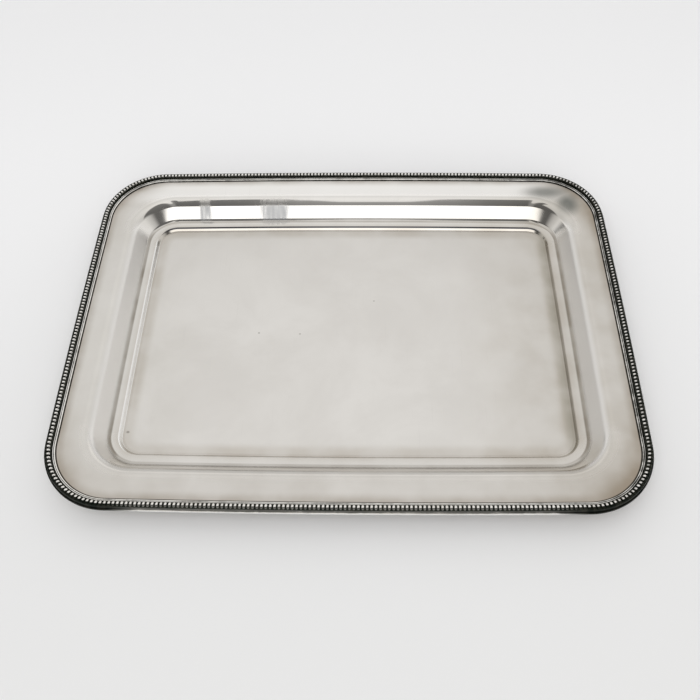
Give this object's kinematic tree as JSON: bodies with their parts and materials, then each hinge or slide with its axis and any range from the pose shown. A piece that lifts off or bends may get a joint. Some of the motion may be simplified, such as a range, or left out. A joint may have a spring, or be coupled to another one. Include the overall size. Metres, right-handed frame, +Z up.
{
  "type": "serving tray",
  "caption": "Rectangular silver serving tray with a flat rim, a sunken stepped well and a bead-and-reed border.",
  "frame": {"origin": "middle of the underside of the floor, which is the middle of the bottom of the bounding box", "axes": "+X along the long side to the right, +Y to the back, +Z up out of the well"},
  "size_m": [0.4064, 0.3048, 0.022],
  "materials": {
    "silver_sheet": "satin worn silver with light brown tarnish along the creases",
    "silver_border": "bright bead tops over dark oxidised recesses"
  },
  "bodies": {
    "root": {"tray_body": "silver_sheet", "border_front": "silver_border", "border_back": "silver_border", "border_left": "silver_border", "border_right": "silver_border", "border_corner_front_left": "silver_border", "border_corner_front_right": "silver_border", "border_corner_back_left": "silver_border", "border_corner_back_right": "silver_border"}
  },
  "joints": []
}
